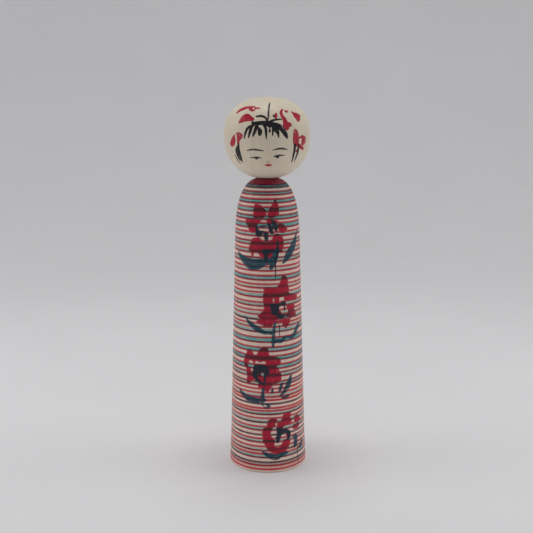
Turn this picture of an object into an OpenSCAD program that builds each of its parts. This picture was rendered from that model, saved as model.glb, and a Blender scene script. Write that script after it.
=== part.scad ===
// Turned wooden doll: a flared body, a ball head, and the dowel that joins them.
// Millimetres, +Z up. The origin is the centre of the base, and the face looks along -Y.

/* [Body] */
// Height of the body from the base to the seat that carries the head
body_h = 189.6; // [185:0.2:195]
// Diameter of the straight wall, carried down to the base
wall_d = 50.4; // [46:0.2:54]
// Diameter where the straight wall ends and the shoulder begins
shoulder_d = 41.7; // [38:0.1:44]
// Height at which the shoulder begins
shoulder_z = 150; // [140:1:160]
// Height that the shoulder's curve would need to close on the axis, above the seat
shoulder_over = 0.6; // [0.4:0.1:1.2]
// Fullness of the shoulder towards the wall
shoulder_power = 2.8; // [2:0.1:3.6]
// Fullness of the shoulder towards the neck
neck_power = 3; // [2:0.1:4]
// Extra radius that the foot flares out by
flare = 0.45; // [0:0.05:1.5]
// Height over which the flare dies away
flare_h = 9; // [4:0.5:20]
// Bevel round the lower edge
base_bevel = 0.8; // [0.1:0.1:1]
// Radius of the lathe centre's mark under the base
centre_r = 2; // [0.5:0.1:4]
// Depth of the lathe centre's mark
centre_depth = 1.2; // [0.3:0.1:3]

/* [Head] */
// Widest diameter of the head
head_d = 54.2; // [44:0.1:58]
// Height of the crown above the widest girth
crown_h = 23.2; // [18:0.1:28]
// Depth of the chin's curve below the widest girth
chin_h = 27.4; // [22:0.1:32]
// How much of the chin's curve is cut off flat to seat on the body
chin_cut = 0.4; // [0.3:0.05:1]
// Fullness of the crown, where 2 is an ellipse
crown_power = 2.25; // [2:0.05:2.6]
// Fullness of the chin, where 2 is an ellipse
chin_power = 2.3; // [2:0.02:2.6]
// Gap between the head's seat and the body's seat
seat_gap = 0.2; // [0.1:0.05:0.5]

/* [Neck peg] */
// Diameter of the dowel
peg_d = 8; // [5:0.5:8]
// Length of dowel glued into the head
peg_in_head = 14.5; // [8:0.5:20]
// Length of dowel that turns in the body
peg_in_body = 14.3; // [8:0.1:20]
// Radial clearance of the dowel in the body's socket
turning_clearance = 0.05; // [0.02:0.01:0.1]
// Spare depth left past each end of the dowel
end_clearance = 0.5; // [0.2:0.1:2]
// Chamfer on each end of the dowel
peg_chamfer = 0.8; // [0.2:0.1:1.5]
// Countersink round the mouth of each hole
mouth_chamfer = 0.4; // [0.1:0.1:0.6]

/* [Hidden] */
$fn = 96;

wall_steps = 16;
curve_steps = 24;
drill_point_angle = 118;
overlap = 0.1;

peg_r = peg_d / 2;
socket_r = peg_r + turning_clearance;
shoulder_h = body_h - shoulder_z + shoulder_over;
taper = (wall_d - shoulder_d) / 2 / shoulder_z;
head_seat_z = body_h + seat_gap;
head_mid_z = head_seat_z + chin_h - chin_cut;
head_r = head_d / 2;
peg_low_z = body_h - peg_in_body;
peg_high_z = head_seat_z + peg_in_head;
socket_depth = peg_in_body + end_clearance;
bore_depth = peg_in_head + end_clearance;

maple = [0.86, 0.78, 0.62];
ivory = [0.90, 0.86, 0.76];
painted_red = [0.66, 0.24, 0.25];

// Radius of the straight wall and its flared foot at height z
function wall_radius(z) = wall_d / 2 - taper * z + flare * exp(-z / flare_h);

// Radius of the shoulder at height z, which closes over the wall's own taper
function shoulder_radius(z) =
    let (rise = (z - shoulder_z) / shoulder_h)
    wall_radius(z) * pow(1 - pow(rise, shoulder_power), 1 / neck_power);

// Half of a flattened ball: radius at a share of its height, from girth to pole
function ball_radius(share, power) = head_r * pow(1 - pow(share, power), 1 / power);

// Heights bunched towards the far end, where a round outline turns fastest
function bunched(i) = sin(90 * i / curve_steps);

wall_outline = [
    for (i = [1 : wall_steps])
        let (z = base_bevel + (shoulder_z - base_bevel) * pow(i / wall_steps, 1.5))
        [wall_radius(z), z]
];
shoulder_outline = [
    for (i = [1 : curve_steps])
        let (z = shoulder_z + (body_h - shoulder_z) * bunched(i))
        [shoulder_radius(z), z]
];
chin_outline = [
    for (i = [curve_steps : -1 : 0])
        let (share = (1 - chin_cut / chin_h) * bunched(i))
        [ball_radius(share, chin_power), head_mid_z - chin_h * share]
];
crown_outline = [
    for (i = [1 : curve_steps - 1])
        [ball_radius(bunched(i), crown_power), head_mid_z + crown_h * bunched(i)]
];

// A drilled blind hole that opens downward at the origin and runs up +Z
module blind_hole(r, depth) {
    point_h = r / tan(drill_point_angle / 2);
    translate([0, 0, -overlap])
        cylinder(r = r, h = depth + overlap);
    translate([0, 0, depth])
        cylinder(r1 = r, r2 = 0, h = point_h);
    translate([0, 0, -overlap])
        cylinder(r1 = r + mouth_chamfer + overlap, r2 = r, h = mouth_chamfer + overlap);
}

module body() {
    color(painted_red)
        difference() {
            rotate_extrude()
                polygon(concat(
                    [[0, 0], [wall_radius(0) - base_bevel, 0], [wall_radius(0), base_bevel]],
                    wall_outline,
                    shoulder_outline,
                    [[0, body_h]]
                ));
            translate([0, 0, body_h])
                mirror([0, 0, 1])
                    blind_hole(socket_r, socket_depth);
            translate([0, 0, -overlap])
                cylinder(
                    r1 = centre_r * (1 + overlap / centre_depth),
                    r2 = 0,
                    h = centre_depth + overlap
                );
        }
}

module head() {
    color(ivory)
        difference() {
            rotate_extrude()
                polygon(concat(
                    [[0, head_seat_z]],
                    chin_outline,
                    crown_outline,
                    [[0, head_mid_z + crown_h]]
                ));
            translate([0, 0, head_seat_z])
                blind_hole(peg_r, bore_depth);
        }
}

module neck_peg() {
    color(maple)
        rotate_extrude()
            polygon([
                [0, peg_low_z],
                [peg_r - peg_chamfer, peg_low_z],
                [peg_r, peg_low_z + peg_chamfer],
                [peg_r, peg_high_z - peg_chamfer],
                [peg_r - peg_chamfer, peg_high_z],
                [0, peg_high_z]
            ]);
}

body();
head();
neck_peg();
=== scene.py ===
"""Looks of a turned wooden doll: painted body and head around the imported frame."""
import bpy
import math
import numpy as np
from mathutils import Matrix, Vector


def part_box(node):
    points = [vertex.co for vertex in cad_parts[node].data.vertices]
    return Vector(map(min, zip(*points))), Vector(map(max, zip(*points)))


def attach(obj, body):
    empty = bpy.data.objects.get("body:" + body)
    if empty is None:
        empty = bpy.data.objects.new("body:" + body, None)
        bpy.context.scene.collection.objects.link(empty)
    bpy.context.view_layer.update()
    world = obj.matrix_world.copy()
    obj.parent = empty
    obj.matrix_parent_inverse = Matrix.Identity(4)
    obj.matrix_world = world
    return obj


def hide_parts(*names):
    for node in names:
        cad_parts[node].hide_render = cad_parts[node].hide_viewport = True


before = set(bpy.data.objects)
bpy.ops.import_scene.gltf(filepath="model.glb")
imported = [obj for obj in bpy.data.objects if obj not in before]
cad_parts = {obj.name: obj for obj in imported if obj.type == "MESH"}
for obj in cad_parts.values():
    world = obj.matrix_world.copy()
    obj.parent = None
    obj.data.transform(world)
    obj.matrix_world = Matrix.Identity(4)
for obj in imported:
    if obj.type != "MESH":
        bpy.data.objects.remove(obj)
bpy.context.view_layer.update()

MM = 0.001
TAU = 2 * math.pi
body_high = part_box("body")[1]
head_low, head_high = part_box("head")
peg_low, peg_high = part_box("neck_peg")

# ---------------------------------------------------------------- turned outlines, in millimetres

BODY_H = body_high.z / MM
HEAD_SEAT_Z = head_low.z / MM
HEAD_TOP_Z = head_high.z / MM
HEAD_R = (head_high.x - head_low.x) / MM / 2
PEG_R = (peg_high.x - peg_low.x) / MM / 2

WALL_R = 25.2            # straight wall, carried down to the base
SHOULDER_R = 20.85       # straight wall where the shoulder begins
SHOULDER_Z = 150.0
SHOULDER_OVER = 0.6      # the shoulder's curve would close this far above the body's top
SHOULDER_LATE = 2.8      # a higher power turns the shoulder in later
SHOULDER_FULL = 1 / 3    # a lower power keeps it fuller
FLARE = 0.45             # extra radius at the foot
FLARE_H = 9.0            # height over which the flare dies away
BASE_BEVEL = 0.8
CENTRE_R = 2.0           # mark of the lathe's centre, under the base
CENTRE_DEPTH = 1.2
CROWN_H = 23.2           # from the head's widest girth up to its top
CHIN_H = 27.4            # from its widest girth down to where the ball would close
CROWN_POWER = 2.25       # 2 is an ellipse, and more is fuller
CHIN_POWER = 2.3
HEAD_MID_Z = HEAD_TOP_Z - CROWN_H
RUNNING_CLEARANCE = 0.05
SOCKET_R = PEG_R + RUNNING_CLEARANCE
END_CLEARANCE = 0.5      # between each end of the dowel and its hole
MOUTH_CHAMFER = 0.4      # at the mouth of each hole
DRILL_POINT = 0.6        # height of a drill's point over its radius


def body_radius(z):
    """Radius of the body's wall, foot and shoulder at height z."""
    z = np.asarray(z, float)
    taper = (WALL_R - SHOULDER_R) * z / SHOULDER_Z
    wall = WALL_R - taper + FLARE * np.exp(-z / FLARE_H)
    rise = np.clip((z - SHOULDER_Z) / (BODY_H + SHOULDER_OVER - SHOULDER_Z), 0, 1)
    return wall * (1 - rise ** SHOULDER_LATE) ** SHOULDER_FULL


def head_radius(z):
    """Radius of the head at height z: a ball a little fuller than an ellipse."""
    z = np.asarray(z, float)
    up = np.clip((z - HEAD_MID_Z) / CROWN_H, 0, 1)
    down = np.clip((HEAD_MID_Z - z) / CHIN_H, 0, 1)
    crown = (1 - up ** CROWN_POWER) ** (1 / CROWN_POWER)
    chin = (1 - down ** CHIN_POWER) ** (1 / CHIN_POWER)
    return HEAD_R * np.where(z > HEAD_MID_Z, crown, chin)


# ---------------------------------------------------------------- the rings round the body

# From the foot up: the height of each ring, its ink (r red, d dark, b nearly black), and the gap above it
# (c bare wood, p pale blue-green, m middling, t full blue-green, g greyed by both inks, k red wiped thin).
RINGS = """
    2.4rk 5.0rg 7.2bc 10.4dm 12.9rk 15.2dp 17.9rc 20.8rm 23.3rc 25.9bc 29.0rm 31.5rc 34.4bp 37.2rc 39.7dm
    42.1rk 44.0rc 46.8bc 49.3rk 51.5rp 54.3rc 56.9rc 59.4rm 61.6dc 65.0rm 67.7dc 70.2rt 72.9rc 76.1dt
    78.6rc 81.6rt 84.4rc 87.7rt 90.8rc 94.4dm 97.5rp 100.0rc 102.5bp 105.7rp 108.5rc 111.1rm 113.6rc
    116.9rm 120.0rc 122.7rp 125.1rc 127.8rt 130.6rc 133.6rp 136.3rc 139.6rm 142.0dc 145.1rm 147.6rc
    150.1rm 152.5dc 155.6rm 158.0rc 160.7rt 163.6rc 165.9rt 168.2dc 170.7rt 173.3rc 175.8rt 178.1rc
    180.6rt 182.4dc 184.9bt 187.0dk
"""
NECK_INK_Z = 185.9       # the neck above this is one dark red band
RING_WIDTH = 1.3
RING_INK = {"r": 0.0, "d": 0.5, "b": 1.0}         # 0 is red and 1 is dark
WASH = {"c": 0.0, "p": 0.48, "m": 0.80, "t": 1.0, "g": 0.5, "k": 0.0}         # share of blue-green
ROSY_GAPS = "kg"


def read_rings():
    """Height, darkness, wash of blue-green above, and wash of red above, one of each for each ring."""
    items = RINGS.split()
    height = np.array([float(item[:-2]) for item in items])
    dark = np.array([RING_INK[item[-2]] for item in items])
    wash = np.array([WASH[item[-1]] for item in items])
    rosy = np.array([1.0 if item[-1] in ROSY_GAPS else 0.0 for item in items])
    return height, dark, wash, rosy


# ---------------------------------------------------------------- brush strokes

# Each stroke is its points as "across height width", in order. Across is degrees round the body from its
# front, or on the head millimetres over the surface from the middle of the face; the rest is millimetres.
# On the head, height too is measured over the surface from the middle of the face. An indented line carries
# on the stroke above it. Petals, bare spots and pools are closed outlines, so their points have no width.

# The red petals of the four flowers.
PETALS = """
    -26.5 174.6, -22 175.4, -16 174.9, -10 174.2, -7 172.9, -3.5 171.8, -1.4 170.8, -1.6 169.2, -4 167.4,
        -12 166.4, -26 166.7, -27.4 168.2, -27 170, -27.6 171.6, -26.2 172.8
    13.6 177.5, 18.4 177.8, 19 176.4, 21.3 175.8, 22 174.2, 21.6 173.2, 23 172.4, 21.6 171, 22 169.2,
        19 167.8, 10 166.8, 4 166.8, 0.4 168, 0.6 170.4, 3 171.6, 4 173, 7 174.2, 10.5 175.9, 13 176.3
    -1.4 166.6, 8 166.2, 14 165.4, 20 164.6, 19.4 163.4, 12 163.4, 8 162.9, 4 161.8, 1 162.4, -1.2 163.8
    -43.5 165.4, -40 166.6, -33 166.4, -25 166.4, -15 166.1, -11 165.9, -11.4 164.6, -14 163.3, -17 162.6,
        -19 161.4, -18 159, -20 157.6, -26 157.1, -30 157.5, -34 158.7, -36 160, -38 161.6, -41 162.8,
        -43 164
    18 162.6, 26 162.8, 32 161.8, 34.5 160.9, 37.2 159.8, 36.6 158.3, 33 157.3, 25 157.1, 21.5 158,
        19.6 159.2, 19 161
    3.4 162, 8.6 161.6, 9.8 158, 6 156.7, 3 158.4
    -28.5 153.4, -30 151.4, -31 150, -33 148.8, -34.6 147, -33 145.9, -29 145.3, -29 143.6, -27 142.5,
        -24.4 142.8, -23.4 144.7, -20 145.3, -16 145, -14.4 143.6, -11 142.2, -7 141.8, 8 142, 9 144,
        13 145, 25 145, 27 146.4, 28.6 147.6, 30 149, 29 150, 29.6 152, 28 154.2, 25 155.6, 18 156.8,
        12 156.6, 9 155, 7.2 153.3, 2 152.2, -4 152.3, -9 152.9, -11.6 154, -16 154.8, -22 154.4
    -6 123, -6.6 120.5, -7.6 118.4, -7.6 116, -8 114, -6.5 112.2, -6 110.4, -7.4 108.4, -12 106.4,
        -17 105.2, -15.5 103.8, -12 102.9, -16 102.3, -19.4 100.8, -17 99.8, -9 98.8, -5 97.9, 6 97.8,
        12 99.7, 18 102, 24 103.2, 24 106.2, 20 108.8, 18.4 111, 21 112.4, 20 114.2, 21 116.3, 27.4 116.3,
        28 114.6, 31 113.6, 44 113, 54 112.8, 58.6 113.7, 60 115.2, 56 116.8, 46 117.7, 38.6 118.6,
        39.2 121.4, 38 123, 36.6 124.8, 37.2 127, 35 128.7, 31 130, 26 130.2, 23 128.4, 21 126, 18 124.2,
        14 123.2, 5 123.4
    33.4 111.1, 40 111.4, 49 111.1, 52 110, 52 108.4, 50.4 107.2, 53.6 106, 54.6 104, 55.6 101.3, 52 102,
        45 102.3, 41 101.2, 38 102.3, 33 103.3, 30.4 104.4, 33.6 105.6, 36 107, 34.4 108.4, 33 109.6
    24 102.3, 30 102.7, 36 102.1, 40 101.2, 40.2 99.6, 36.5 97.5, 31.5 95.9, 27 96.9, 24.2 98.4,
        23.6 99.8, 18 99.6, 14.4 100.2, 16.4 101.6
    -36.4 79.6, -35 81.6, -31 82.4, -27 82.1, -24.4 80.8, -22.4 79.5, -18 79.3, -15.6 81.2, -12 83.3,
        -8 84.2, -2 85, 0.6 83.7, 1.6 81.5, 3 79.5, 7 78.5, 13 78, 18 77.2, 21.2 75.8, 22 74, 20 72.5,
        14 71.6, 17.6 70.2, 18.6 68.6, 20.6 67.3, 22.6 65.6, 22.4 63, 20.4 61.2, 15 60.2, 8.4 60, 7 58.4,
        4 56.8, 1.6 55.2, -2 53.9, -4.5 55.1, -7.4 56.6, -14 57.5, -16.2 59.2, -14 60.4, -18 61.4,
        -20 63.4, -21.4 64.4, -21.4 62.4, -28 60.5, -33.6 59.5, -35.7 61, -35 63.6, -34.6 65, -36.6 66.8,
        -36.6 69, -39 70.4, -41 71.8, -42.6 73.4, -41 75.4, -40 77.4, -38 78.6
    3 36.5, 6 37.5, 12 37.3, 14.6 36, 14.8 34.6, 12.4 34, 11.8 32.4, 12.4 31, 8 30.5, 6 28.8, 4.6 27,
        6 24.7, 9 23, 12 21, 10 19.4, 12 18, 16.6 17, 18.6 18.5, 22 19.4, 24 21.4, 30 22, 35.6 21.3,
        37.2 20, 36 18.4, 34.4 17, 32 15.7, 30 14.3, 27 13, 20 12.4, 13 12.8, 7 13.5, 2 14.8, -1 16,
        -3 17.4, -5.6 19.4, -8 21.4, -8.2 23.6, -8.9 26, -8.6 28.4, -7.4 30.4, -3 31.3, -1.6 33, -1 34.8
    22 36.8, 24 38.6, 27 39.9, 34 40.1, 38 39.5, 38.6 37.6, 37 36, 40 35.2, 40.2 33, 38 31.6, 33 31.2,
        25 30.6, 22.8 29, 21 27.6, 17 27.1, 14.4 28.2, 13.4 30, 14.4 31.6, 13.6 33, 15 34.3, 20.4 34.6,
        21 36
    47 36.3, 54 36.1, 58 34.5, 61.4 32.7, 58 31, 50 30.7, 45 31.2, 45 33, 44.4 34.6
    41 29.2, 46 30.4, 57 30.1, 58.4 28.4, 54 26.7, 48 26.5, 43 27.3
    29 25.4, 36 25.6, 37 23, 34 21.6, 30 22.4
"""

# Places inside the petals that the brush left bare.
BARE_SPOTS = """
    -31 74.4, -27.4 74.9, -24.4 74.4, -25 73.5, -30 73.3
    -20.4 74, -18 74.9, -15 74.8, -12.8 73.9, -10.4 74.6, -5 74.9, -3.2 74, -5 73.4, -12 73.2, -19 73.3
    -33 72.2, -24 73, -22 71.4, -23.4 68.4, -27 68.3, -28 70.4, -31.4 70.6
    -10 67.6, -5.4 67.7, -5 66, -9.4 65.4
    9 115.8, 10.8 115.6, 10.6 113.2, 9.2 113.2
"""

# Blue leaves and stems.
LEAVES = """
    -61 143.8 1.2, -54 141.8 3.0, -44 139.6 5.0, -30 137.6 7.2, -18 137.6 6.8, -6 139 5.0, 4 139.6 4.6,
        9 139 3.6
    64 157.4 1.2, 60 153.8 2.6, 53.5 149.6 5.0, 45.5 145.8 5.4, 38 142.6 4.8, 31.5 139.8 2.8, 27 138 1.0
    16.5 146.6 3.2, 13.5 143.4 4.2, 9.5 139 4.2, 6 135.6 2.6
    -40 103.4 0.8, -34 100.6 2.2, -26 98.4 3.4, -16 96 3.6, -6 94.2 2.6, 2 93.8 2.2, 9 93.4 2.4
    13 100.6 1.2, 10.6 96.6 1.8, 9.8 92 2.2, 9 88 2.6, 8.5 84.6 1.4
    65 96.8 1.2, 58 94.6 3.6, 50.5 91.2 3.4, 42 89.4 2.6, 34 90.2 1.6, 27 89.8 2.6
    28 90.4 1.4, 24 88.2 2.8, 16 88.2 2.6, 9 87.8 2.6
    -50.5 54 1.2, -44 51.8 2.8, -34 49.8 4.0, -22 48.9 4.2, -12 49 3.6, -5 49.4 2.4
    -6.5 57 1.8, -7.5 54 2.2, -8 50.6 2.6, -8.5 47.4 1.4
    -8.5 46.4 0.7, -5 44.4 0.9, -1 44.2 1.3, 4 45.4 0.9
    -2 46.4 1.2, 1.5 45.8 2.0
    39.5 64 1.8, 37 60.6 3.4, 32.4 57 3.8, 27 54.2 3.0, 20 52 1.4
    22.6 59.8 1.6, 20.6 57 2.6, 18.6 54.4 1.6
    7.6 57.4 1.1, 7.2 54.6 2.0
    -8.5 14.2 1.2, -3 12.9 2.6, 4 11.4 3.6, 12 10.6 4.2, 21 11.7 3.2, 31 12.6 1.4
    41.5 22.4 0.9, 46 22.4 1.8, 50.5 21.8 1.4
    47.6 22.2 3.0, 48 19.4 3.8, 47 16.8 3.8, 45 15.2 2.2
    65 18 1.4, 63 15.4 3.0, 60 13.3 2.6, 54 13.4 1.4
    23 50.4 1.5, 29 50.2 2.1, 35 51 1.5
"""

# Fine dark strokes in and under the flowers.
INK = """
    -18.5 161.6 1.2, -18 159 2.6, -15.6 157 3.8, -12 156.8 3.0
    -14 158.4 1.0, -7 158.2 1.3, 0 157 1.6
    -14 161.4 0.9, -7 161.8 1.1, 0 162.4 0.9
    -4.4 157 2.0, -2 155 3.0, -2 152.8 1.6
    2 163.6 0.9, 4.6 161 2.6, 6.6 158.6 2.4, 9.5 157.2 1.2
    8 165.2 1.2, 11.6 163.4 2.6, 14.2 161 3.4, 15.6 158.8 1.6
    17 153.6 0.7, 17.8 150 1.6, 17.6 146 1.8, 15.6 142 1.2
    14 141.4 1.0, 13.6 136 0.8, 13.8 128.4 0.8
    29.3 111.6 1.2, 29 108.0 1.3
    25 105.2 0.7, 33 104.4 1.6, 40 105 1.0
    19.4 98.4 0.7, 19.8 91 0.8
    -22 67.4 2.6, -20.2 64.8 2.8, -17 62.8 2.8, -13 61.6 2.4, -9.6 60.2 1.4
    -4 67.6 1.8, -4.6 63.6 1.7, -5.6 60.4 1.2, -6 58.2 0.9
    51.2 14.6 0.9, 51.4 9 0.8, 51.8 2.4 0.7
"""

# Where the dark ink pooled in the flowers.
POOLS = """
    -11 147, -4 147.5, 6 147.4, 13.5 147.3, 12.4 146, 8 145, 3.6 144.2, 1.4 143, 1 141, -1 139.7,
        -4.4 139.8, -5.8 141.6, -7 143.4, -9.6 145.2, -11.4 146.2
    4.5 112.4, 12 112.7, 20 112.7, 25 113.7, 29 113.7, 32.4 112.6, 31.6 111.2, 27 110.8, 22 111, 19.6 110,
        19.6 107.6, 19 106, 24 105.7, 30 105.4, 32 104.4, 29 103.2, 24 102.3, 20 102.4, 17 103.8, 13 105,
        8 105.3, 5.6 106.8, 4.6 109.4
    -24 70.5, -20 72.4, -14 73.1, -6 72.8, 0 71.2, 2.5 69.2, 2.7 67, 0 65.9, -3 66.6, -5.4 67.7, -9 67.8,
        -11.4 66.8, -15 66.6, -18 65.4, -21 65.2, -23.6 67.8
    13 29.8, 19 30.5, 22 29.1, 27 29.2, 31 28.8, 35 27.6, 37.6 26, 37 24, 35 21.7, 31.6 21.6, 30.4 23.4,
        30.8 25.4, 27 26.3, 23.4 26, 20.8 24.6, 19 22, 16.6 19.9, 14 19.8, 12.2 21.6, 11.8 24, 13.6 26
"""

# The forelock and the parting above it.
HAIR = """
    2.0 24.3 0.7, 1.5 21 1.5, 1.05 17 1.2, 0.8 13 1.1, 0.7 10.6 0.7
    -6.8 12.5 1.1, -4 12.7 1.7, -1.6 12.0 1.4, -0.3 10.5 1.4, 0.2 8.8 1.9
    9.0 10.7 0.9, 6 10.4 1.2, 3.2 9.7 1.5, 1.2 8.5 1.8
    3.9 13.3 0.9, 4.3 12.6 1.3, 4.8 11.8 0.8
    -9.2 9.4 0.8, -8.6 8 2.2, -5.5 8.1 2.6, -2.5 8.3 2.6, 0.5 8.1 2.8
    0 8.3 2.4, 3.6 7.4 2.8, 7 6.3 3.2, 9.6 4 3.3, 11.5 1.2 2.6, 12.4 -0.9 1.2
    -8.6 6.6 1.3, -10.6 6.1 1.7, -12.4 4.8 1.7, -13.7 2 1.5, -14.5 -1.3 0.7
    -9.6 6.2 2.2, -10.3 3.8 2.0, -10.9 1.8 1.6, -11.5 -0.4 1.0
    -6.2 7.4 2.4, -6.9 4.8 2.1, -7.8 2.4 1.8, -8.7 0.4 1.0
    -5.9 6.4 1.1, -5.0 4.9 1.4, -4.3 3.4 2.7, -4.4 1.8 2.3, -4.7 0.9 0.9
    -1.9 6.8 1.6, -0.9 5 1.7, -0.6 2.2 1.5, -0.5 -1.1 0.7
    0.6 6.8 1.0, 1.7 4.6 0.8, 1.5 3.5 1.5, 1.3 2.7 0.8
    3.3 5.2 1.2, 3.4 3 1.3, 3.2 0.9 0.8
    4.4 6.2 2.4, 5.4 4.2 3.0, 6.5 2.2 2.0, 7.0 -0.5 0.7
    8 5.4 2.0, 9.8 2.8 2.0, 11 1 1.8
    -1 7.4 2, 2 6.6 2.0, 4.6 6 2.2
"""

# Brows, eyelids and pupils.
FACE_LINES = """
    -12.6 -8.6 0.5, -10.2 -8.0 1.0, -7.6 -7.8 1.1, -5 -8.0 1.0, -2.2 -8.4 0.5
    3.3 -8.1 0.4, 5.6 -7.5 0.9, 7.8 -7.2 1.2, 10 -7.4 1.1, 12.6 -8.1 0.5
    -10.9 -13.3 0.4, -8.6 -12.8 0.8, -6.2 -12.6 1.1, -3.7 -12.8 0.5
    3.9 -12.0 0.6, 5.6 -11.6 1.1, 8.2 -11.4 1.0, 10.8 -11.7 0.5
    -7.4 -13.0 0.9, -6.6 -13.3 1.5, -5.9 -13.0 0.9
    5.5 -12.1 1.0, 6.3 -12.5 1.6, 7.1 -12.1 0.9
"""

# Hair beside the cheeks.
SIDE_LOCKS = """
    -18.8 -4.6 1.4, -19.0 -8 2.2, -18.2 -12 2.4, -17.2 -15.4 1.8, -16.5 -17.4 0.6
    -20.0 -6.6 0.8, -20.8 -9.6 1.8, -20.0 -12.8 1.8, -18.4 -16 1.1
    -22.4 -13.0 0.6, -20.8 -16.0 1.1, -18.4 -19.2 0.5
    18.2 -5.4 1.8, 17.9 -9 1.9, 17.3 -12.6 1.6, 16.5 -16.4 1.0, 16.2 -17.4 0.4
    21.2 -5.8 1.7, 20.9 -9.4 1.9, 20.2 -12.4 1.6, 19.0 -15.6 1.2
    18.7 -16.9 0.9, 18.5 -17.4 0.7
"""

# The red hair ornament over the brow and beside the locks.
RED_MARKS = """
    -22.2 16.8 1.8, -19.8 18.8 2.8, -16.6 19.9 3.2, -13.4 20.4 2.4, -11 20.4 1.7
    -12.8 20.2 1.6, -11.6 18.9 2.6, -10.2 17.4 2.2, -8.8 17.0 1.2, -8.0 18.0 0.9
    -11.8 20.4 1.5, -9.6 20.4 1.7, -8.0 19.6 1.1
    -8.4 18.6 1.0, -6.6 18.9 2.0, -4.6 18.3 0.9
    -18.4 9.0 1.4, -16.4 10.8 3.8, -13.8 12.3 5.4, -11.4 11.5 4.0, -9.0 10.7 2.2
    -17.4 9.9 1.8, -13 10.4 2.0, -9.6 10.6 1.5
    -25.6 -6.5 1.8, -24.4 -5 4.6, -23.3 -2.6 4.0, -22.8 -0.4 2.0, -22.2 0.9 0.7
    -20.6 1.9 1.0, -18.4 1.3 2.8, -16.9 0.5 2.8
    -19.6 1.0 1.7, -19.0 -1.6 2.3, -19.1 -4.9 1.7
    -17.2 -0.4 2.4, -18.2 -2.2 1.6
    10.4 17.9 1.3, 9.2 15.8 1.8, 9.5 13.2 2.2, 10.8 11.0 2.7, 11.6 8.6 3.4, 12 6.4 4.6, 12.4 4.8 2.2
    12.4 7.4 3.4, 14.6 7.7 2.2, 15.0 6.7 1.6
    5.8 14.6 1.0, 5.5 13.2 2.1, 5.5 11.8 1.8
    12.0 17.0 1.0, 13.2 16.5 2.0, 14.3 17.1 0.9
    17.2 16.6 1.2, 19.4 15 3.0, 22.2 14.8 3.0, 24 14.4 2.0
    19.4 13.8 3.0, 21.6 12.6 4.8, 21.2 10.5 2.2
    17.9 4.0 1.6, 19.4 3.4 1.8
    18.8 2.6 3.8, 19 0 4.8, 19.1 -3.4 5.0, 19.2 -5.0 4.2
    20.6 -1.8 1.6, 22.6 -1.0 1.6, 24.8 -0.5 2.0, 26.2 -1.4 2.6
    25.6 -1.2 3.0, 26.4 -2.6 4.8, 26.2 -4.2 4.6, 25.0 -5.6 2.6
    20.8 -5.8 2.4, 23.4 -7.6 2.6, 25.6 -9.3 2.2
    19.4 -9.5 1.1, 19.3 -10.4 0.9
"""

MOUTH = """
    -1.3 -17.7 0.9, 0.7 -17.75 2.0, 2.7 -17.7 0.9
"""

NOSE = """
    -0.3 -15.4 0.7, 0.1 -15.4 0.9
    1.1 -15.4 0.7, 1.4 -15.4 0.9
"""


STROKE_STEPS = 7         # parts that each span between two points is cut into
OUTLINE_STEPS = 3
THINNEST = 0.1           # least width of a stroke


def read_points(text):
    """The strokes or outlines of a block above, each an array of its points."""
    shapes = []
    for line in text.replace(",\n", ",").strip().splitlines():
        shapes.append(np.array([[float(number) for number in point.split()] for point in line.split(",")]))
    return shapes


def smooth_through(padded, steps):
    """A Catmull-Rom curve through all but the first and the last of the points given."""
    t = np.linspace(0, 1, steps, endpoint=False)[:, None]
    pieces = []
    for p0, p1, p2, p3 in zip(padded, padded[1:], padded[2:], padded[3:]):
        square = 2 * p0 - 5 * p1 + 4 * p2 - p3
        cube = 3 * p1 - p0 - 3 * p2 + p3
        pieces.append(0.5 * (2 * p1 + (p2 - p0) * t + square * t ** 2 + cube * t ** 3))
    return np.vstack(pieces + [padded[-2:-1]])


def smooth_stroke(points):
    """The stroke's whole path, its width included."""
    before = 2 * points[0] - points[1]
    after = 2 * points[-1] - points[-2]
    curve = smooth_through(np.vstack([before, points, after]), STROKE_STEPS)
    curve[:, 2] = np.maximum(curve[:, 2], THINNEST)
    return curve


def smooth_outline(points):
    """The closed outline, its corners a little rounded."""
    return smooth_through(np.vstack([points[-1:], points, points[:2]]), OUTLINE_STEPS)


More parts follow.
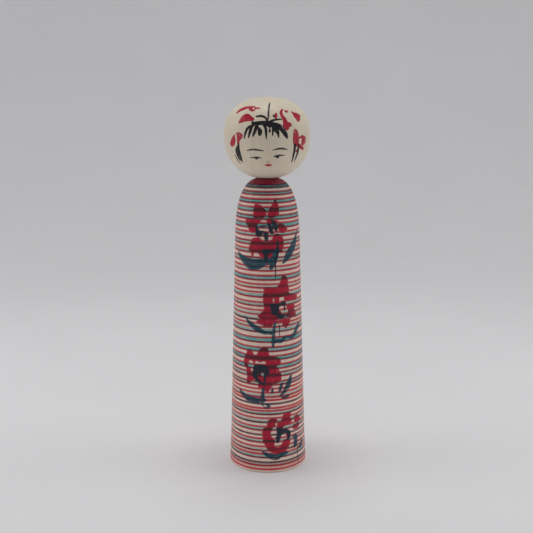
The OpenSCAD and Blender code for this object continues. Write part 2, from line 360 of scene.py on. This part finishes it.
class Canvas:
    """The paint on one turned surface: for each vertex, how far inside each layer's strokes it lies."""

    FAR = -3.0           # what counts as well outside every stroke, in millimetres

    def __init__(self, across, height, stretch):
        self.across, self.height, self.stretch = across, height, stretch
        self.layers = {}
        self.brush = np.zeros((len(across), 3))
        self.dry = np.zeros(len(across))
        self.nearest = np.full(len(across), self.FAR)
        self.count = 0

    def lay(self, layer, strokes, dry):
        """Adds strokes to a layer. dry is how much of the brush's load is gone, 0 to 1."""
        inside = self.layers.setdefault(layer, np.full(len(self.across), self.FAR))
        for stroke in strokes:
            self.count += 1
            self._lay_one(inside, smooth_stroke(stroke), dry)

    def fill(self, layer, outlines, dry, bare=()):
        """Adds closed outlines to a layer, less the bare ones."""
        inside = self.layers.setdefault(layer, np.full(len(self.across), self.FAR))
        for outline in outlines:
            near, depth = self._depth_in(smooth_outline(outline))
            inside[near] = np.maximum(inside[near], depth)
            chosen = near[depth > self.nearest[near]]
            self.count += 1
            self.nearest[chosen] = inside[chosen]
            self.brush[chosen, 0] = self.height[chosen]
            self.brush[chosen, 1] = self.across[chosen] * self.stretch[chosen]
            self.brush[chosen, 2] = self.count
            self.dry[chosen] = dry
        for outline in bare:
            near, depth = self._depth_in(smooth_outline(outline))
            inside[near] = np.minimum(inside[near], -depth)

    def _near(self, curve, reach):
        """The vertices within reach of the box round a curve."""
        low, high = curve.min(0), curve.max(0)
        return np.flatnonzero(
            (self.height > low[1] - reach) & (self.height < high[1] + reach)
            & (self.across * self.stretch > low[0] * self.stretch - reach)
            & (self.across * self.stretch < high[0] * self.stretch + reach)
        )

    def _depth_in(self, curve):
        """Which vertices are near a closed outline, and how far inside it each is, in millimetres."""
        near = self._near(curve, -self.FAR)
        x, y, stretch = self.across[near], self.height[near], self.stretch[near]
        gap = np.full(len(near), -self.FAR)
        within = np.zeros(len(near), bool)
        for a, b in zip(curve, curve[1:]):
            abx, aby = (b[0] - a[0]) * stretch, b[1] - a[1]
            apx, apy = (x - a[0]) * stretch, y - a[1]
            t = np.clip((apx * abx + apy * aby) / (abx ** 2 + aby ** 2 + 1e-12), 0, 1)
            gap = np.minimum(gap, np.hypot(apx - t * abx, apy - t * aby))
            if a[1] != b[1]:
                crosses = (y < a[1]) != (y < b[1])
                within ^= crosses & (x < a[0] + (y - a[1]) * (b[0] - a[0]) / (b[1] - a[1]))
        return near, np.where(within, gap, -gap)

    def _lay_one(self, inside, curve, dry):
        """Adds one stroke, and notes where each vertex lies along and across the stroke it is deepest in."""
        near = self._near(curve, curve[:, 2].max() / 2 - self.FAR)
        x, y, stretch = self.across[near], self.height[near], self.stretch[near]
        best = np.full(len(near), self.FAR)
        along, aside = np.zeros(len(near)), np.zeros(len(near))
        run = 0.0
        for a, b in zip(curve, curve[1:]):
            abx, aby = (b[0] - a[0]) * stretch, b[1] - a[1]
            apx, apy = (x - a[0]) * stretch, y - a[1]
            length = np.sqrt(abx ** 2 + aby ** 2) + 1e-9
            t = np.clip((apx * abx + apy * aby) / length ** 2, 0, 1)
            gap = np.hypot(apx - t * abx, apy - t * aby)
            depth = (a[2] + (b[2] - a[2]) * t) / 2 - gap
            closer = depth > best
            best = np.where(closer, depth, best)
            along = np.where(closer, run + t * length, along)
            aside = np.where(closer, (apx * aby - apy * abx) / length, aside)
            run = run + length.mean()
        inside[near] = np.maximum(inside[near], best)
        top = best > self.nearest[near]
        chosen = near[top]
        self.nearest[chosen] = best[top]
        self.brush[chosen] = np.stack([along[top], aside[top], np.full(top.sum(), self.count)], 1)
        self.dry[chosen] = dry


# ---------------------------------------------------------------- turned meshes

def turned_mesh(name, outline, angles, patches):
    """A closed surface of revolution.

    outline is (radius, height) from pole to pole in millimetres, and angles run from the front towards +X.
    patches place the outline's stretches on the unwrapped sheet. Returns the piece, and the angle, height
    and radius of each vertex, with the two poles last.
    """
    outline = np.asarray(outline, float)
    inner = outline[1:-1]
    n, m = len(angles), len(inner)
    r, z = np.repeat(inner[:, 0], n), np.repeat(inner[:, 1], n)
    a = np.tile(angles, m)
    verts = np.stack([r * np.sin(a), -r * np.cos(a), z], 1)
    verts = np.vstack([verts, [0, 0, outline[0, 1]], [0, 0, outline[-1, 1]]])
    first_pole, last_pole = n * m, n * m + 1
    row, col = np.meshgrid(np.arange(m - 1), np.arange(n), indexing="ij")
    low, high, next_col = row * n, (row + 1) * n, (col + 1) % n
    quads = np.stack([low + col, low + next_col, high + next_col, high + col], -1).reshape(-1, 4)
    col = np.arange(n)
    next_col = (col + 1) % n
    start = np.stack([next_col, col, np.full(n, first_pole)], 1)
    end = np.stack([(m - 1) * n + col, (m - 1) * n + next_col, np.full(n, last_pole)], 1)
    mesh = bpy.data.meshes.new(name)
    mesh.from_pydata((verts * MM).tolist(), [], quads.tolist() + start.tolist() + end.tolist())
    place_on_sheet(mesh, outline, angles, patches)
    mesh.polygons.foreach_set("use_smooth", [True] * len(mesh.polygons))
    mesh.update()
    piece = bpy.data.objects.new(name, mesh)
    bpy.context.scene.collection.objects.link(piece)
    at_poles = [0.0, 0.0]
    return piece, np.append(a, at_poles), np.append(z, outline[[0, -1], 1]), np.append(r, at_poles)


def place_on_sheet(mesh, outline, angles, patches):
    """The bake's UV map.

    A patch is (first row, last row, kind, box), its box being left, bottom, right and top on the sheet. A
    "wall" is unrolled over its box. A "disc" runs from the middle of its box out to the edge, and a
    "disc_in" runs from the edge in to the middle.
    """
    n = len(angles)
    rows = len(outline)
    # The faces are the quads, row by row, and then the fan at each pole.
    quad_corners = (rows - 3) * n * 4
    fan_corners = n * 3
    face_rows = np.zeros(len(mesh.loops), int)
    face_cols = np.zeros(len(mesh.loops), int)
    face_rows[:quad_corners] = np.repeat(np.arange(1, rows - 2), n * 4)
    face_rows[quad_corners + fan_corners:] = rows - 2
    face_cols[:quad_corners] = np.tile(np.repeat(np.arange(n), 4), rows - 3)
    face_cols[quad_corners:] = np.tile(np.repeat(np.arange(n), 3), 2)

    vertex = np.zeros(len(mesh.loops), int)
    mesh.loops.foreach_get("vertex_index", vertex)
    first_pole = n * (rows - 2)
    last_pole = first_pole + 1
    corner_row = np.where(vertex == first_pole, 0, np.where(vertex == last_pole, rows - 1, vertex // n + 1))
    corner_col = np.where(vertex >= first_pole, face_cols, vertex % n)
    wrapped = (face_cols == n - 1) & (corner_col == 0)
    column = (corner_col + np.where(wrapped, n, 0)) / n

    run = np.append(0, np.cumsum(np.hypot(*np.diff(outline, axis=0).T)))
    uv = np.zeros((len(mesh.loops), 2))
    for low, high, kind, (u0, v0, u1, v1) in patches:
        mine = (face_rows >= low) & (face_rows < high)
        share = (run[corner_row] - run[low]) / (run[high] - run[low])
        if kind == "wall":
            uv[mine, 0] = (u0 + (u1 - u0) * column)[mine]
            uv[mine, 1] = (v0 + (v1 - v0) * share)[mine]
        else:
            radius = (1 - share if kind == "disc_in" else share) / 2
            angle = angles[corner_col % n]
            uv[mine, 0] = ((u0 + u1) / 2 + (u1 - u0) * radius * np.sin(angle))[mine]
            uv[mine, 1] = ((v0 + v1) / 2 + (v1 - v0) * radius * np.cos(angle))[mine]
    layer = mesh.uv_layers.new(name="OFBake")
    layer.data.foreach_set("uv", uv.astype(np.float32).ravel())


def spaced(*stretches):
    """Rising values, each stretch given as (low, high, step)."""
    values = []
    for low, high, step in stretches:
        count = max(1, round((high - low) / step))
        values.append(np.linspace(low, high, count, endpoint=False))
    return np.append(np.concatenate(values), stretches[-1][1])


def keep(mesh, name, values):
    """Stores one number, or three, for each vertex, for the materials to read."""
    values = np.asarray(values, np.float32)
    if values.ndim == 1:
        mesh.attributes.new(name, "FLOAT", "POINT").data.foreach_set("value", values)
    else:
        mesh.attributes.new(name, "FLOAT_VECTOR", "POINT").data.foreach_set("vector", values.ravel())


def in_rows(vertex_count, first_row, last_row, per_row):
    """Which of a turned mesh's vertices, poles apart, are in these rows of its outline."""
    chosen = np.zeros(vertex_count, bool)
    chosen[(first_row - 1) * per_row:last_row * per_row] = True
    return chosen


WALL_STEP = 0.47         # greatest height between the body's rows
BODY_FRONT = 86          # degrees each way from the front that hold the flowers
FRONT_STEP = 1.2         # degrees between columns there
BACK_STEP = 3.6
OFF_CANVAS = -99         # a height that no stroke comes near


def body_levels(ring_heights):
    """Heights of the wall's rows: one on each ring, one midway between two, and more to fill in."""
    midway = (ring_heights[1:] + ring_heights[:-1]) / 2
    knots = np.unique(np.concatenate([[BASE_BEVEL], ring_heights, midway, [BODY_H]]))
    stretches = []
    for low, high in zip(knots, knots[1:]):
        rows = max(1, math.ceil((high - low) / WALL_STEP))
        stretches.append(np.linspace(low, high, rows, endpoint=False))
    return np.append(np.concatenate(stretches), BODY_H)


def body_under():
    """The sawn base, from the mark at its middle out to the bevel at its edge."""
    edge = float(body_radius(0)) - BASE_BEVEL
    under = [[0, CENTRE_DEPTH], [CENTRE_R * 0.5, CENTRE_DEPTH * 0.5], [CENTRE_R, 0]]
    under += [[r, 0] for r in np.linspace(CENTRE_R + 2, edge - 0.3, 8)]
    return under + [[edge, 0], [edge + BASE_BEVEL * 0.7, BASE_BEVEL * 0.3]]


def body_socket():
    """The seat on top of the body, and the drilled socket down to its point."""
    mouth = SOCKET_R + MOUTH_CHAMFER
    seat_r = float(body_radius(BODY_H))
    bottom = peg_low.z / MM - END_CLEARANCE
    return [
        [(seat_r + mouth) / 2, BODY_H],
        [mouth, BODY_H],
        [SOCKET_R, BODY_H - MOUTH_CHAMFER],
        [SOCKET_R, bottom],
        [0, bottom - SOCKET_R * DRILL_POINT],
    ]


def keep_rings(mesh, z, on_wall):
    """Stores what the rings and the gaps between them look like at each vertex of the body."""
    height, dark, wash, rosy = read_rings()
    above = np.clip(np.searchsorted(height, z), 1, len(height) - 1)
    nearer_above = np.abs(z - height[above]) < np.abs(z - height[above - 1])
    ring = np.where(nearer_above, above, above - 1)
    depth = RING_WIDTH / 2 - np.abs(z - height[ring])
    depth = np.maximum(depth, z - NECK_INK_Z)
    gap = np.clip(np.searchsorted(height, z, side="right") - 1, 0, len(height) - 1)
    gap_low = height[gap]
    gap_high = np.append(height[1:], BODY_H)[gap]
    in_a_gap = on_wall & (z > height[0])
    far = Canvas.FAR
    keep(mesh, "ring", np.where(on_wall, np.clip(depth, far, -far), far))
    keep(mesh, "neck", np.where(on_wall, np.maximum(z - NECK_INK_Z, far), far))
    keep(mesh, "ring_dark", dark[ring])
    keep(mesh, "wash", np.where(in_a_gap, wash[gap], 0))
    keep(mesh, "rosy", np.where(in_a_gap, rosy[gap], 0))
    keep(mesh, "gap", np.where(on_wall, np.minimum(z - gap_low, gap_high - z), far))
    keep(mesh, "gap_share", (z - gap_low) / (gap_high - gap_low))


def build_body():
    levels = body_levels(read_rings()[0])
    wall = np.stack([body_radius(levels), levels], 1)
    under = body_under()
    outline = np.vstack([under, wall, body_socket()])
    wall_first = len(under)
    wall_last = wall_first + len(wall) - 1
    patches = [
        (0, wall_first - 1, "disc", (0.01, 0.01, 0.13, 0.13)),
        (wall_first - 1, wall_last, "wall", (0.0, 0.15, 1.0, 0.995)),
        (wall_last, len(outline) - 1, "disc_in", (0.15, 0.01, 0.27, 0.13)),
    ]
    degrees = spaced(
        (-180, -BODY_FRONT, BACK_STEP),
        (-BODY_FRONT, BODY_FRONT, FRONT_STEP),
        (BODY_FRONT, 180, BACK_STEP),
    )
    angles = np.radians(degrees[:-1])
    piece, angle, z, r = turned_mesh("painted_body", outline, angles, patches)
    on_wall = in_rows(len(z), wall_first, wall_last, len(angles))
    keep_rings(piece.data, z, on_wall)

    arc = np.append(0, np.cumsum(np.hypot(*np.diff(wall, axis=0).T)))

    def run(level):
        """Distance up the wall's surface to a height."""
        return np.interp(level, levels, arc)

    def unrolled(text):
        """A block's shapes, their heights turned into distances up the wall."""
        shapes = read_points(text)
        for shape in shapes:
            shape[:, 1] = run(shape[:, 1])
        return shapes

    canvas = Canvas(np.degrees(angle), np.where(on_wall, run(z), OFF_CANVAS), np.radians(np.maximum(r, 1)))
    canvas.fill("flower", unrolled(PETALS), dry=0.1, bare=unrolled(BARE_SPOTS))
    canvas.lay("leaf", unrolled(LEAVES), dry=0.25)
    canvas.fill("ink", unrolled(POOLS), dry=0.1)
    canvas.lay("ink", unrolled(INK), dry=0.12)
    store_canvas(piece.data, canvas)
    return piece


FACE_LOW = HEAD_MID_Z - 18.0        # the rows are closest together between these heights
FACE_HIGH = HEAD_MID_Z + 11.0
CROWN_ROWS = 60


def head_levels():
    """Heights of the head's rows, from its seat to its crown."""
    chin = spaced((HEAD_SEAT_Z, HEAD_SEAT_Z + 2, 0.1), (HEAD_SEAT_Z + 2, FACE_LOW, 0.35))
    face = spaced((FACE_LOW, FACE_HIGH, 0.22))
    crown_from = math.asin(min(1, (FACE_HIGH - HEAD_MID_Z) / CROWN_H))
    turn = np.linspace(crown_from, math.pi / 2, CROWN_ROWS)[1:]
    crown = HEAD_MID_Z + CROWN_H * np.sin(turn)
    return np.concatenate([chin[:-1], face, crown])


def head_bore(wall_start_r):
    """The drilled hole from its point down to its mouth, and the seat out to where the wall starts."""
    top = peg_high.z / MM + END_CLEARANCE
    mouth = PEG_R + MOUTH_CHAMFER
    return [
        [0, top + PEG_R * DRILL_POINT],
        [PEG_R, top],
        [PEG_R, HEAD_SEAT_Z + MOUTH_CHAMFER],
        [mouth, HEAD_SEAT_Z],
        [(mouth + wall_start_r) / 2, HEAD_SEAT_Z],
    ]


def build_head():
    levels = head_levels()
    wall = np.stack([head_radius(levels), levels], 1)
    bore = head_bore(wall[0, 0])
    outline = np.vstack([bore, wall])
    patches = [
        (0, len(bore), "disc", (0.01, 0.005, 0.06, 0.055)),
        (len(bore), len(outline) - 1, "wall", (0.0, 0.06, 1.0, 0.998)),
    ]
    half = spaced((0, 36, 0.45), (36, 66, 0.7), (66, 180, 3.0))
    angles = np.radians(np.concatenate([-half[:0:-1], half[:-1]]))
    piece, angle, z, r = turned_mesh("painted_head", outline, angles, patches)
    on_wall = in_rows(len(z), len(bore), len(outline) - 2, len(angles))

    # Each vertex's bearing from the middle of the face, and its distance from there over a ball.
    x, y, up = r * np.sin(angle), -r * np.cos(angle), z - HEAD_MID_Z
    distance = np.sqrt(x ** 2 + y ** 2 + up ** 2) + 1e-9
    over = np.arccos(np.clip(-y / distance, -1, 1)) * HEAD_R
    flat = np.hypot(x, up) + 1e-9
    canvas = Canvas(x / flat * over, np.where(on_wall, up / flat * over, OFF_CANVAS), np.ones(len(z)))
    canvas.lay("red", read_points(RED_MARKS), dry=0.25)
    canvas.lay("hair", read_points(HAIR), dry=0.12)
    canvas.lay("hair", read_points(SIDE_LOCKS), dry=0.28)
    canvas.lay("line", read_points(FACE_LINES), dry=0.2)
    canvas.lay("lip", read_points(MOUTH), dry=0.1)
    canvas.lay("nose", read_points(NOSE), dry=0.0)
    store_canvas(piece.data, canvas)
    return piece


def store_canvas(mesh, canvas):
    """Stores each layer's depth, the place within the nearest stroke, and how dry that stroke is."""
    for layer, values in canvas.layers.items():
        keep(mesh, layer, values)
    keep(mesh, "brush", canvas.brush)
    keep(mesh, "dry", canvas.dry)


# ---------------------------------------------------------------- materials

SHEEN = 0.25             # specular level of waxed wood
BUMP_STRENGTH = 0.6
BUMP_HEIGHT = 0.06       # millimetres


class Nodes:
    """Short names for building one material's node tree."""

    def __init__(self, name):
        self.material = bpy.data.materials.new(name)
        self.material.use_nodes = True
        self.tree = self.material.node_tree
        self.tree.nodes.clear()
        self.place = self.new("ShaderNodeTexCoord").outputs["Object"]

    def new(self, kind, **settings):
        node = self.tree.nodes.new(kind)
        for key, value in settings.items():
            setattr(node, key, value)
        return node

    def feed(self, socket, value):
        """Links a socket to another, or sets its value."""
        if isinstance(value, bpy.types.NodeSocket):
            self.tree.links.new(value, socket)
        elif isinstance(value, (tuple, list)) and len(value) == 3 and socket.type == "RGBA":
            socket.default_value = (*value, 1)
        else:
            socket.default_value = value

    def value(self, name):
        """One of the mesh's stored numbers."""
        return self.new("ShaderNodeAttribute", attribute_name=name).outputs["Fac"]

    def vector(self, name):
        return self.new("ShaderNodeAttribute", attribute_name=name).outputs["Vector"]

    def math(self, operation, a, b=0.0):
        node = self.new("ShaderNodeMath", operation=operation)
        self.feed(node.inputs[0], a)
        self.feed(node.inputs[1], b)
        return node.outputs[0]

    def total(self, *terms):
        result = terms[0]
        for term in terms[1:]:
            result = self.math("ADD", result, term)
        return result

    def product(self, *factors):
        result = factors[0]
        for factor in factors[1:]:
            result = self.math("MULTIPLY", result, factor)
        return result

    def ease(self, value, low, high, out_low=0.0, out_high=1.0):
        """Smoothly out_low to out_high as the value goes from low to high."""
        node = self.new("ShaderNodeMapRange", interpolation_type="SMOOTHSTEP")
        for slot, v in enumerate((value, low, high, out_low, out_high)):
            self.feed(node.inputs[slot], v)
        return node.outputs[0]

    def stretch(self, vector, scale):
        node = self.new("ShaderNodeMapping")
        self.feed(node.inputs["Vector"], vector)
        node.inputs["Scale"].default_value = scale
        return node.outputs["Vector"]

    def noise(self, vector, scale, detail=2.0, rough=0.5):
        """Noise from 0 to 1, its cells about 1/scale of the vector's unit."""
        node = self.new("ShaderNodeTexNoise")
        self.feed(node.inputs["Vector"], vector)
        node.inputs["Scale"].default_value = scale
        node.inputs["Detail"].default_value = detail
        node.inputs["Roughness"].default_value = rough
        return node.outputs["Fac"]

    def mix(self, share, a, b, blend="MIX"):
        node = self.new("ShaderNodeMix", data_type="RGBA", blend_type=blend)
        self.feed(node.inputs["Factor"], share)
        self.feed(node.inputs["A"], a)
        self.feed(node.inputs["B"], b)
        return node.outputs["Result"]

    def surface(self, colour, rough, height):
        """Finishes the material with a wood or paper surface. height is a bump from 0 to 1."""
        shader = self.new("ShaderNodeBsdfPrincipled")
        self.feed(shader.inputs["Base Color"], colour)
        self.feed(shader.inputs["Roughness"], rough)
        shader.inputs["Specular IOR Level"].default_value = SHEEN
        bump = self.new("ShaderNodeBump")
        bump.inputs["Strength"].default_value = BUMP_STRENGTH
        bump.inputs["Distance"].default_value = BUMP_HEIGHT * MM
        self.feed(bump.inputs["Height"], height)
        self.feed(shader.inputs["Normal"], bump.outputs["Normal"])
        output = self.new("ShaderNodeOutputMaterial")
        self.feed(output.inputs["Surface"], shader.outputs["BSDF"])
        return self.material


def wood(n, pale, deep, seed):
    """Fine straight-grained wood, its grain along Z. Returns its colour, its fibre and the place in mm."""
    shift = n.new("ShaderNodeVectorMath", operation="MULTIPLY_ADD")
    n.feed(shift.inputs[0], n.place)
    shift.inputs[1].default_value = (1 / MM,) * 3
    shift.inputs[2].default_value = (seed, seed * 2.3, seed * 0.7)
    mm = shift.outputs[0]
    fibre = n.noise(n.stretch(mm, (1, 1, 0.035)), 2.6, 3.0, 0.62)
    pore = n.noise(n.stretch(mm, (1, 1, 0.09)), 6.5, 2.0, 0.5)
    figure = n.noise(n.stretch(mm, (1, 1, 0.02)), 0.28, 2.0, 0.45)
    cloud = n.noise(mm, 0.05, 2.0, 0.5)
    pore_colour = tuple(c * 0.62 for c in deep)
    aged = (pale[0] * 0.97, pale[1] * 0.93, pale[2] * 0.84)
    colour = n.mix(n.ease(figure, 0.3, 0.72, 0.0, 0.55), pale, deep)
    colour = n.mix(n.ease(fibre, 0.42, 0.75, 0.0, 0.35), colour, deep)
    colour = n.mix(n.ease(pore, 0.62, 0.78, 0.0, 0.3), colour, pore_colour)
    colour = n.mix(n.ease(cloud, 0.35, 0.7, 0.0, 0.3), colour, aged)
    return colour, fibre, mm


def inked(n, depth, ragged, soft):
    """Coverage of an ink layer: 1 inside, with a ragged edge. depth is millimetres inside its outline."""
    return n.ease(n.math("ADD", depth, ragged), -soft, soft)


def ragged_edge(n, mm, amount):
    """How far an edge wanders, in millimetres: bleeding along the grain, and the brush's own wobble."""
    bleed = n.noise(n.stretch(mm, (1, 1, 0.16)), 1.9, 2.0, 0.6)
    wobble = n.noise(mm, 0.32, 1.0, 0.5)
    both = n.total(n.product(bleed, 0.55), n.product(wobble, 0.45))
    return n.product(n.math("SUBTRACT", both, 0.5), amount)


def brush_hairs(n):
    """Streaks along the nearest stroke, 0 to 1, and the share of the ink that they leave."""
    streak = n.noise(n.stretch(n.vector("brush"), (0.09, 1.0, 3.7)), 1.7, 3.0, 0.6)
    load = n.math("SUBTRACT", 0.86, n.product(n.value("dry"), 0.42))
    return streak, n.ease(n.math("SUBTRACT", load, streak), 0.0, 0.16)


# Wood.
CREAM = (0.755, 0.675, 0.545)
CREAM_DEEP = (0.69, 0.58, 0.45)
BODY_CREAM = (0.86, 0.69, 0.60)
BODY_CREAM_DEEP = (0.74, 0.54, 0.42)
BARE_WOOD = (0.66, 0.52, 0.34)
BARE_WOOD_DEEP = (0.50, 0.35, 0.20)

# Inks on the body.
RING_RED = (0.70, 0.055, 0.105)
RING_DARK = (0.055, 0.045, 0.085)
NECK_RED = (0.34, 0.004, 0.062)
TEAL = (0.16, 0.61, 0.70)
FLOWER_RED = (0.54, 0.007, 0.062)
OVERLAP = (0.105, 0.016, 0.022)         # a petal over blue-green
LEAF_BLUE = (0.004, 0.082, 0.125)
LEAF_DEEP = (0.004, 0.024, 0.045)
INK_BLACK = (0.011, 0.022, 0.038)

# Inks on the head.
MARK_RED = (0.50, 0.006, 0.042)
MARK_RED_THIN = (0.68, 0.024, 0.098)
HAIR_BLACK = (0.005, 0.007, 0.019)
NOSTRIL = (0.24, 0.24, 0.19)

# The floor.
PAPER = (0.83, 0.825, 0.84)
PAPER_LIGHT = (0.85, 0.845, 0.86)

BRUSH_EDGE = 0.16        # how soft a brush stroke's edge is, in millimetres


def paint_washes(n, colour, mm, ragged):
    """Thin ink in the gaps between the rings. Returns the colour and the strength of the blue-green."""
    watery = n.noise(n.stretch(mm, (1, 1, 1.4)), 0.16, 3.0, 0.6)
    wet_gap = inked(n, n.value("gap"), n.math("SUBTRACT", ragged, 0.02), 0.16)
    # A wash thinner than full dries out before it reaches the ring above.
    reach = n.ease(n.value("wash"), 0.85, 0.99, 0.80, 1.30)
    drying = n.ease(n.math("SUBTRACT", reach, n.value("gap_share")), 0.0, 0.25)
    wash = n.product(n.value("wash"), wet_gap, drying, n.ease(watery, 0.25, 0.7, 0.72, 1.0))
    colour = n.mix(wash, colour, TEAL, "MULTIPLY")
    rosy = n.product(n.value("rosy"), wet_gap, 0.31)
    return n.mix(rosy, colour, RING_RED, "MULTIPLY"), wash


def paint_rings(n, colour, mm, ragged, petals):
    """The rings and the neck, fainter under the petals. Returns the colour and the rings' cover."""
    load = n.noise(n.stretch(mm, (1, 1, 5)), 0.06, 3.0, 0.6)
    ring = n.product(inked(n, n.value("ring"), ragged, 0.14), n.ease(load, 0.28, 0.66, 0.86, 1.0))
    ink = n.mix(n.product(n.value("ring_dark"), 0.88), RING_RED, RING_DARK)
    ink = n.mix(inked(n, n.value("neck"), ragged, 0.2), ink, NECK_RED)
    in_the_open = n.math("SUBTRACT", 1.0, n.product(petals, 0.88))
    return n.mix(n.product(ring, in_the_open), colour, ink, "MULTIPLY"), ring


def paint_flowers(n, colour, wash, ring, edge):
    """Petals, then leaves, then dark ink. Returns the colour and how much any of them covers."""
    streak, hairs = brush_hairs(n)
    leaf_ink = n.mix(n.ease(streak, 0.42, 0.62), LEAF_BLUE, LEAF_DEEP)
    leaf_ink = n.mix(n.product(ring, 0.6), leaf_ink, LEAF_DEEP)
    painted = 0.0
    for layer, ink, share, blend in (
        ("flower", FLOWER_RED, 0.99, "MULTIPLY"),
        ("leaf", leaf_ink, 0.97, "MIX"),
        ("ink", INK_BLACK, 0.985, "MIX"),
    ):
        pooled = n.ease(n.value(layer), 0.1, 1.2, 0.93, 1.0)
        cover = n.product(inked(n, n.value(layer), edge, BRUSH_EDGE), hairs, share, pooled)
        colour = n.mix(cover, colour, ink, blend)
        if layer == "flower":
            colour = n.mix(n.product(cover, n.ease(wash, 0.1, 0.8)), colour, OVERLAP)
        painted = n.math("MAXIMUM", cover, painted)
    return colour, painted


def body_paint():
    n = Nodes("painted_body")
    colour, fibre, mm = wood(n, BODY_CREAM, BODY_CREAM_DEEP, seed=3.0)
    ring_edge = ragged_edge(n, mm, 0.5)
    brush_edge = ragged_edge(n, mm, 0.95)
    petals = inked(n, n.value("flower"), brush_edge, BRUSH_EDGE)
    colour, wash = paint_washes(n, colour, mm, ring_edge)
    colour, ring = paint_rings(n, colour, mm, ring_edge, petals)
    colour, painted = paint_flowers(n, colour, wash, ring, brush_edge)
    rough = n.total(n.ease(fibre, 0.3, 0.8, 0.42, 0.56), n.product(painted, -0.06))
    height = n.total(n.product(fibre, 0.5), n.product(n.total(painted, ring), 0.25))
    return n.surface(colour, rough, height)


def head_paint():
    n = Nodes("painted_head")
    colour, fibre, mm = wood(n, CREAM, CREAM_DEEP, seed=11.0)
    ragged = ragged_edge(n, mm, 0.42)
    streak, hairs = brush_hairs(n)
    red_ink = n.mix(n.ease(streak, 0.35, 0.7), MARK_RED, MARK_RED_THIN)
    painted = 0.0
    for layer, ink, share, edge, soft in (
        ("red", red_ink, 0.99, ragged, 0.14),
        ("lip", MARK_RED_THIN, 0.95, 0.0, 0.12),
        ("nose", NOSTRIL, 0.6, 0.0, 0.3),
        ("line", HAIR_BLACK, 0.95, 0.0, 0.1),
        ("hair", HAIR_BLACK, 0.985, ragged, 0.12),
    ):
        cover = n.product(inked(n, n.value(layer), edge, soft), hairs)
        colour = n.mix(n.product(cover, share), colour, ink, "MULTIPLY")
        painted = n.math("MAXIMUM", cover, painted)
    rough = n.total(n.ease(fibre, 0.3, 0.8, 0.40, 0.52), n.product(painted, -0.05))
    height = n.total(n.product(fibre, 0.4), n.product(painted, 0.3))
    return n.surface(colour, rough, height)


def bare_wood():
    n = Nodes("bare_wood")
    colour, fibre, _ = wood(n, BARE_WOOD, BARE_WOOD_DEEP, seed=29.0)
    return n.surface(colour, n.ease(fibre, 0.3, 0.8, 0.55, 0.7), fibre)


# ---------------------------------------------------------------- the doll

body = build_body()
body.data.materials.append(body_paint())
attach(body, "torso")
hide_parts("body")

head = build_head()
head.data.materials.append(head_paint())
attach(head, "head")
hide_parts("head")

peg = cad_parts["neck_peg"]
peg.data.materials.clear()
peg.data.materials.append(bare_wood())

# ---------------------------------------------------------------- floor, light and camera

FLOOR_R = 0.57           # the flat part
BOWL_R = 0.70            # the curve up from it
WALL_TOP = 0.72
FLOOR_ROWS = 24
FLOOR_SIDES = 96


def studio_floor():
    """A seamless pale floor that curves up all round, so that every view has the same quiet ground."""
    profile = [(r, 0.0) for r in np.linspace(0.02, FLOOR_R, FLOOR_ROWS)]
    for turn in np.linspace(0, math.pi / 2, FLOOR_ROWS)[1:]:
        profile.append((FLOOR_R + BOWL_R * math.sin(turn), BOWL_R * (1 - math.cos(turn))))
    profile.append((FLOOR_R + BOWL_R, WALL_TOP))
    n = FLOOR_SIDES
    round_about = [(math.cos(TAU * i / n), math.sin(TAU * i / n)) for i in range(n)]
    verts = [(0, 0, 0)]
    for r, z in profile:
        verts += [(r * x, r * y, z) for x, y in round_about]
    faces = [(0, 1 + i, 1 + (i + 1) % n) for i in range(n)]
    for row in range(len(profile) - 1):
        low, high = 1 + row * n, 1 + (row + 1) * n
        faces += [(low + i, high + i, high + (i + 1) % n, low + (i + 1) % n) for i in range(n)]
    mesh = bpy.data.meshes.new("studio_floor")
    mesh.from_pydata(verts, [], faces)
    mesh.polygons.foreach_set("use_smooth", [True] * len(mesh.polygons))
    floor = bpy.data.objects.new("studio_floor", mesh)
    bpy.context.scene.collection.objects.link(floor)
    paper = Nodes("studio_paper")
    tone = paper.noise(paper.place, 9.0, 3.0)
    colour = paper.mix(paper.ease(tone, 0.2, 0.8), PAPER, PAPER_LIGHT)
    floor.data.materials.append(paper.surface(colour, 0.9, tone))


def area_light(name, place, target, size, watts):
    data = bpy.data.lights.new(name, "AREA")
    data.shape = "DISK"
    data.size = size
    data.energy = watts
    light = bpy.data.objects.new(name, data)
    light.location = place
    light.rotation_euler = (Vector(target) - Vector(place)).to_track_quat("-Z", "Y").to_euler()
    bpy.context.scene.collection.objects.link(light)


def set_world(strength):
    world = bpy.data.worlds.new("studio_air")
    world.use_nodes = True
    air = world.node_tree.nodes["Background"]
    air.inputs["Color"].default_value = (1.0, 1.0, 1.0, 1)
    air.inputs["Strength"].default_value = strength
    bpy.context.scene.world = world


FOCAL = 850 / 533        # focal length over the frame's width
PITCH = math.radians(11.755)            # looking down
ROLL = math.radians(-0.156)
CAMERA_PLACE = (-0.0006, -0.5401, 0.2444)


def set_camera():
    data = bpy.data.cameras.new("camera")
    data.sensor_width = 36.0
    data.lens = FOCAL * data.sensor_width
    data.clip_start = 0.02
    data.clip_end = 20.0
    data.dof.use_dof = False
    camera = bpy.data.objects.new("camera", data)
    camera.location = CAMERA_PLACE
    turn = Matrix.Rotation(math.pi / 2 - PITCH, 3, "X") @ Matrix.Rotation(ROLL, 3, "Z")
    camera.rotation_euler = turn.to_euler()
    bpy.context.scene.collection.objects.link(camera)
    bpy.context.scene.camera = camera


studio_floor()
area_light("overhead", place=(0.0, 0.08, 1.2), target=(0, 0.08, 0), size=0.5, watts=4.4)
area_light("left", place=(-0.72, 0.0, 0.40), target=(0, 0, 0.12), size=0.5, watts=1.1)
area_light("right", place=(0.72, 0.0, 0.40), target=(0, 0, 0.12), size=0.5, watts=1.0)
set_world(strength=0.27)
set_camera()
bpy.context.scene.view_settings.view_transform = "Standard"
